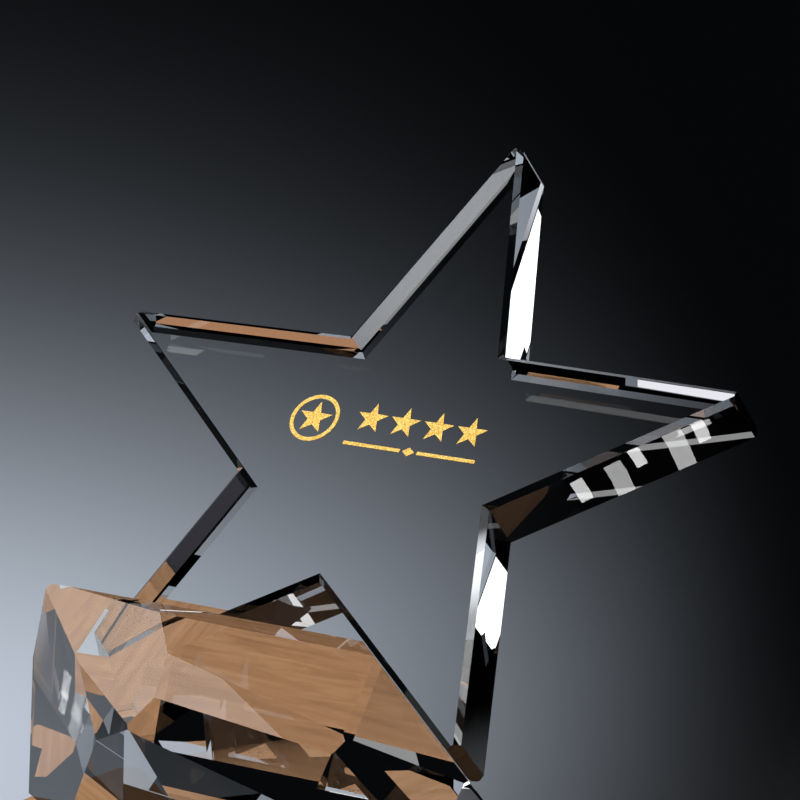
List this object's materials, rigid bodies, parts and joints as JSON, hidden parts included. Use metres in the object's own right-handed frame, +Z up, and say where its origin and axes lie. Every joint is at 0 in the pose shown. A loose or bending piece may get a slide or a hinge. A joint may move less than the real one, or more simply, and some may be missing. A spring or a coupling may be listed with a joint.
{
  "type": "star trophy",
  "caption": "Clear crystal five-pointed star leaning back out of a faceted crystal base, with gold-filled engraving, on a low wooden plinth.",
  "frame": {"origin": "middle of the felt underside, where the trophy stands on a table", "axes": "+Z up, +X along the star's width, to the right seen from the front; the front faces -Y and the star leans back towards +Y"},
  "size_m": [0.181, 0.1622, 0.184],
  "materials": {
    "star_crystal": "polished",
    "base_crystal": "polished",
    "adhesive": "clear cured adhesive",
    "gold_fill": "bright gold fill",
    "plinth_wood": "oiled, satin",
    "felt": "felt"
  },
  "bodies": {
    "root": {"crystal_star": "star_crystal", "crystal_base": "base_crystal", "seat_bond": "adhesive", "side_bond": "adhesive", "medallion_ring": "gold_fill", "medallion_star": "gold_fill", "row_star_1": "gold_fill", "row_star_2": "gold_fill", "row_star_3": "gold_fill", "row_star_4": "gold_fill", "rule_left": "gold_fill", "rule_diamond": "gold_fill", "rule_right": "gold_fill", "plinth_bond": "adhesive", "wood_plinth": "plinth_wood", "felt_pad": "felt"}
  },
  "joints": []
}
